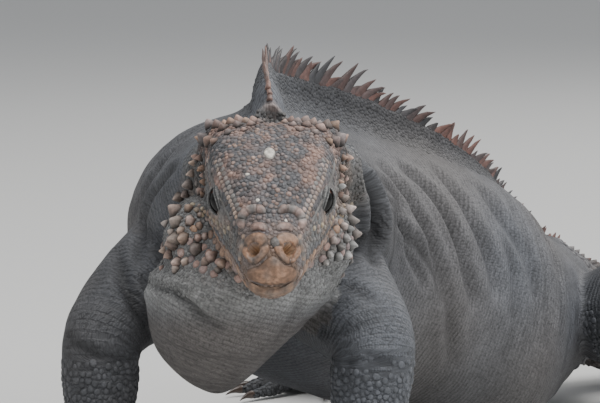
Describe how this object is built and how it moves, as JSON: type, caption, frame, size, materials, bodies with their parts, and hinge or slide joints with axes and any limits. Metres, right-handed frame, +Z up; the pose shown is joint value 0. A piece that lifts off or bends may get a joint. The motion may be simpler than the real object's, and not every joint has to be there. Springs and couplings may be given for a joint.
{
  "type": "rock iguana",
  "caption": "Life-size rock iguana propped on its forelegs, head lowered, crested body and tail resting on the floor; a still display model.",
  "frame": {"origin": "on the flat under the belly, at floor level", "axes": "+Z up from the floor; the head faces -Y; +X towards the animal's left, the side its tail curves away to"},
  "size_m": [0.7698, 0.681, 0.1941],
  "materials": {
    "skin": "matt granular scales, charcoal to blue-grey, with rust-brown crest spines",
    "head_scales": "satin head plates and cones, blue-grey mixed with rust and pinkish tan",
    "eye": "wet, dark brown",
    "claw": "satin dark horn"
  },
  "bodies": {
    "root": {"neck": "skin", "chest": "skin", "belly": "skin", "tail_1": "skin", "tail_2": "skin", "tail_3": "skin", "tail_4": "skin", "tail_5": "skin", "eye_left": "eye", "eye_right": "eye", "head": "head_scales", "dewlap": "skin", "upper_arm_right": "skin", "forearm_right": "skin", "hand_right_claw_1": "claw", "hand_right_claw_2": "claw", "hand_right_claw_3": "claw", "hand_right_claw_4": "claw", "hand_right_claw_5": "claw", "hand_right": "skin", "upper_arm_left": "skin", "forearm_left": "skin", "hand_left_claw_1": "claw", "hand_left_claw_2": "claw", "hand_left_claw_3": "claw", "hand_left_claw_4": "claw", "hand_left_claw_5": "claw", "hand_left": "skin", "thigh_left": "skin", "shank_left": "skin", "foot_left_claw_1": "claw", "foot_left_claw_2": "claw", "foot_left_claw_3": "claw", "foot_left_claw_4": "claw", "foot_left_claw_5": "claw", "foot_left": "skin", "thigh_right": "skin", "shank_right": "skin", "foot_right_claw_1": "claw", "foot_right_claw_2": "claw", "foot_right_claw_3": "claw", "foot_right_claw_4": "claw", "foot_right_claw_5": "claw", "foot_right": "skin"}
  },
  "joints": []
}
